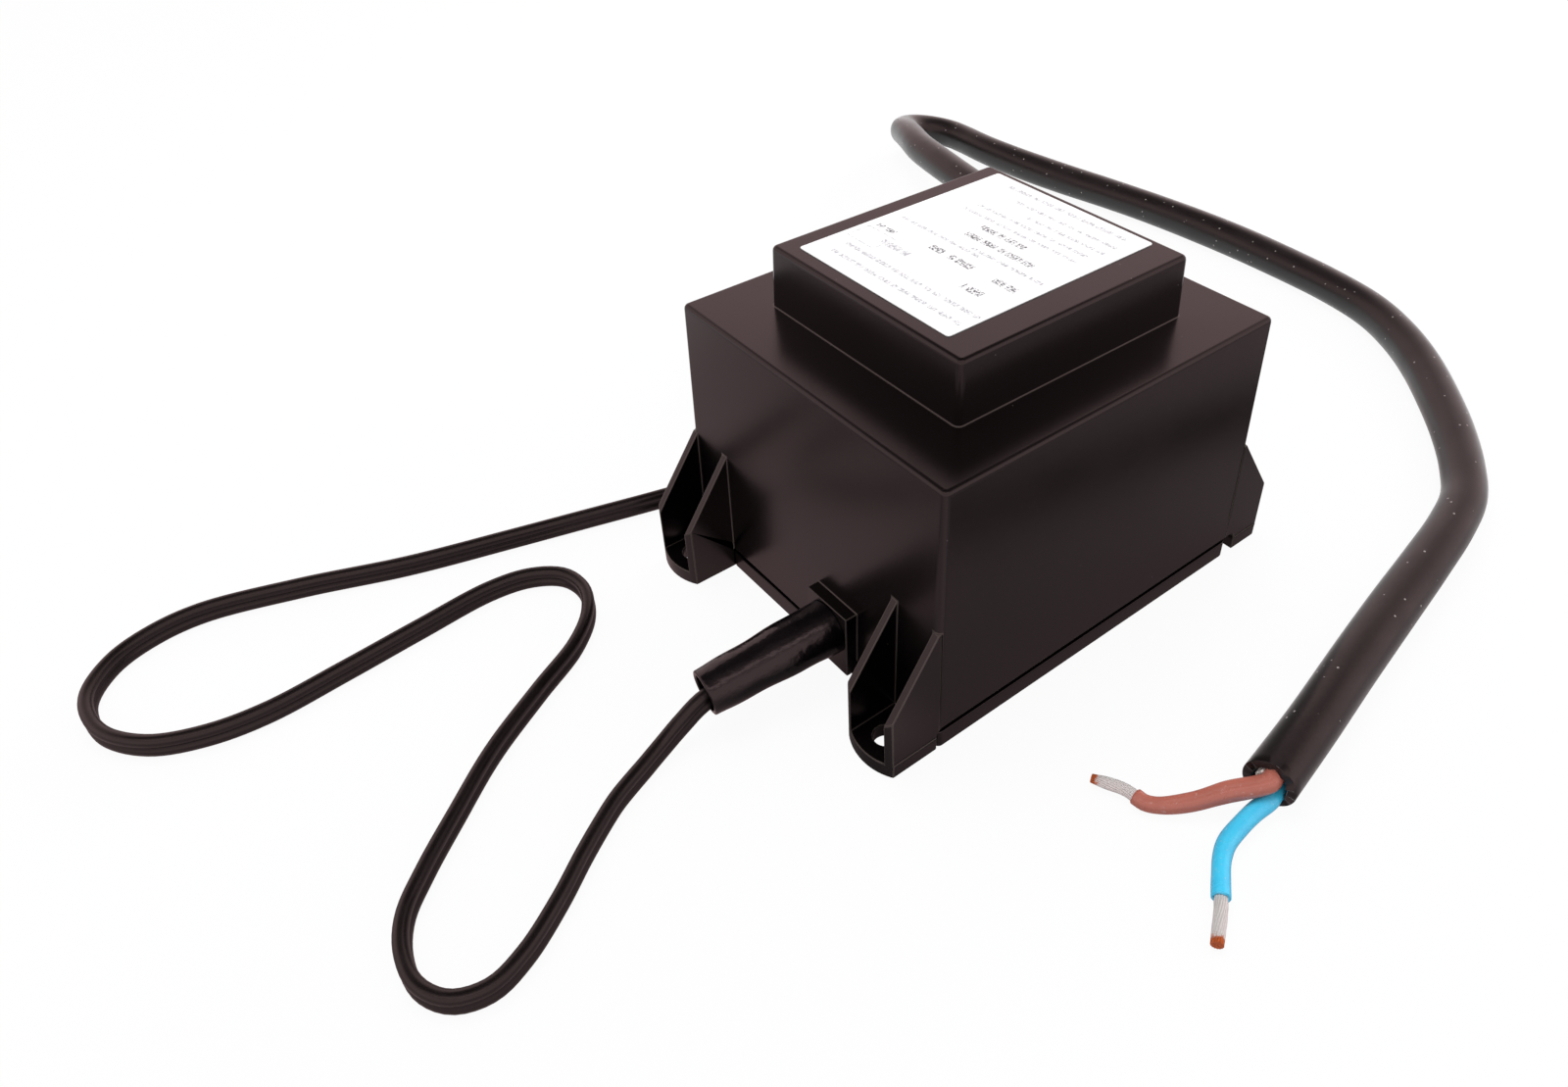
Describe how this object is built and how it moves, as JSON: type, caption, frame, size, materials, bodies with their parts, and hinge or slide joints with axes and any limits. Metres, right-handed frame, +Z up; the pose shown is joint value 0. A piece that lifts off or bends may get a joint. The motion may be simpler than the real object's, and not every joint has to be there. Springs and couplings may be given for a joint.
{
  "type": "power supply",
  "caption": "Potted mains transformer power supply in a black moulded housing with screw lugs and a raised labelled plinth; flat twin input cord, heavy round output cable",
  "frame": {"origin": "the middle of the housing's footprint on the mounting surface, at the height of the lugs' undersides", "axes": "+X along the body's length, square to the two lugged walls and out of the wall that the round cable leaves; +Y across the body; +Z up out of the rating label"},
  "size_m": [0.4072, 0.3455, 0.0912],
  "materials": {
    "housing": "moulded black thermoplastic, satin, fine grain",
    "plate": "moulded black thermoplastic base plate",
    "label": "printed white film label with grey rows",
    "resin": "filled casting resin",
    "steel": "laminated electrical steel, cut edges",
    "plated_steel": "yellow zinc plating",
    "bobbin": "natural glass-filled nylon",
    "copper": "enamelled copper wire",
    "tape": "yellow polyester tape",
    "cutout": "thermal cut-out in a moulded case",
    "tinned_copper": "tinned copper strands",
    "splice_red": "red crimp splice",
    "splice_blue": "blue crimp splice",
    "sleeve": "glossy black vinyl sleeve",
    "grommet": "black rubber grommet",
    "flat_cord": "satin black vinyl twin cord",
    "cable": "black rubber cable sheath",
    "tie": "black twist tie",
    "plug": "moulded black plug",
    "pins": "nickel-plated brass pins",
    "brown_wire": "brown core insulation",
    "blue_wire": "light blue core insulation"
  },
  "bodies": {
    "root": {"housing": "housing", "base_plate": "plate", "rating_label": "label", "potting_resin": "resin", "core_e_stack": "steel", "core_i_stack": "steel", "core_screws": "plated_steel", "core_nuts": "plated_steel", "bobbin": "bobbin", "primary_winding": "copper", "winding_insulation": "tape", "secondary_winding": "copper", "outer_wrap": "tape", "thermal_cutout": "cutout", "cutout_leads": "tinned_copper", "primary_leads": "copper", "secondary_leads": "copper", "primary_splices": "splice_red", "secondary_splices": "splice_blue", "cord_sleeve": "sleeve", "cable_grommet": "grommet", "flat_cord_root": "flat_cord", "round_cable_root": "cable", "flat_cord": "flat_cord", "flat_cord_coil": "flat_cord", "flat_cord_tail": "flat_cord", "coil_tie": "tie", "plug_body": "plug", "plug_pins": "pins", "round_cable": "cable", "brown_core": "brown_wire", "blue_core": "blue_wire", "brown_conductor": "tinned_copper", "blue_conductor": "tinned_copper"}
  },
  "joints": []
}
